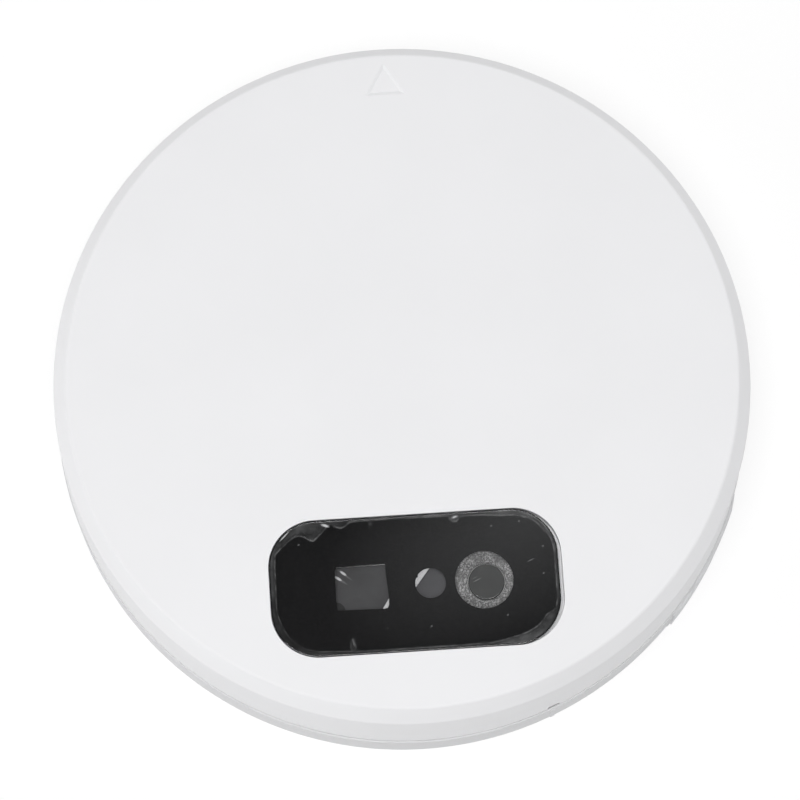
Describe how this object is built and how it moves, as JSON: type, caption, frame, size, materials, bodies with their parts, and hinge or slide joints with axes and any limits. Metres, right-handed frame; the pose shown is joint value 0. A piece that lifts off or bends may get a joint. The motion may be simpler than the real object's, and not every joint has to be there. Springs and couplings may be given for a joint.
{
  "type": "heat detector",
  "caption": "Low round white ceiling heat detector with a dark rounded sensor window near one edge, twist-locked onto a wired mounting base.",
  "frame": {"origin": "centre of the mounting base's flat rear face, the one that goes against the ceiling", "axes": "+Z out of the front face, which looks down into the room when fitted; +Y from the centre to the arrow mark on the face, so the window is on the -Y side; +X completes the right hand"},
  "size_m": [0.12, 0.12, 0.0273],
  "materials": {
    "white_plastic": "satin, very fine grain",
    "dark_panel": "gloss, tinted clear",
    "black_print": "satin print",
    "clear_film": "gloss, clear",
    "grey_filter": "gloss",
    "frosted_plastic": "frosted",
    "board_green": "satin lacquer",
    "black_package": "matt",
    "bright_steel": "plated",
    "contact_brass": "plated",
    "black_rubber": "matt"
  },
  "bodies": {
    "base": {"mounting_base": "white_plastic", "terminal_plate_1": "contact_brass", "terminal_plate_2": "contact_brass", "terminal_plate_3": "contact_brass", "terminal_plate_4": "contact_brass", "clamp_washer_1": "bright_steel", "clamp_washer_2": "bright_steel", "clamp_washer_3": "bright_steel", "clamp_washer_4": "bright_steel", "terminal_screw_1": "bright_steel", "terminal_screw_2": "bright_steel", "terminal_screw_3": "bright_steel", "terminal_screw_4": "bright_steel"},
    "head": {"front_cover": "white_plastic", "rear_cover": "white_plastic", "sensor_holder": "white_plastic", "window_panel": "dark_panel", "window_mask": "black_print", "protective_film": "clear_film", "thermal_filter": "grey_filter", "light_filter": "grey_filter", "ring_lens": "grey_filter", "ring_diffuser": "frosted_plastic", "sensor_board": "board_green", "main_board": "board_green", "light_sensor": "black_package", "board_link": "black_package", "microcontroller": "black_package", "alarm_relay": "black_package", "inductor": "black_package", "test_switch": "black_package", "tamper_switch": "black_package", "thermal_array": "bright_steel", "infrared_sensor": "bright_steel", "capacitor_1": "bright_steel", "capacitor_2": "bright_steel", "tamper_spring": "bright_steel", "cover_screw_1": "bright_steel", "cover_screw_2": "bright_steel", "cover_screw_3": "bright_steel", "cover_screw_4": "bright_steel", "board_screw_1": "bright_steel", "board_screw_2": "bright_steel", "board_screw_3": "bright_steel", "contact_blade_1": "contact_brass", "contact_blade_2": "contact_brass", "contact_blade_3": "contact_brass", "contact_blade_4": "contact_brass", "seal_ring": "black_rubber"},
    "test_button": {"test_button": "black_rubber"},
    "tamper_plunger": {"tamper_plunger": "white_plastic"}
  },
  "joints": [
    {"name": "twist_lock", "type": "hinge", "parent": "base", "child": "head", "pos_m": [0, 0, 0], "axis": [0, 0, 1], "range_deg": [0, 24]},
    {"name": "test_button_press", "type": "slide", "parent": "head", "child": "test_button", "axis": [0, 0, 1], "range_m": [0, 0.0005], "stiffness_N_per_m": 1500, "springref_m": -0.0003},
    {"name": "tamper_plunger_press", "type": "slide", "parent": "head", "child": "tamper_plunger", "axis": [0, 0, 1], "range_m": [0, 0.0011], "stiffness_N_per_m": 500, "springref_m": -0.0006, "deforming": ["tamper_spring"]}
  ]
}
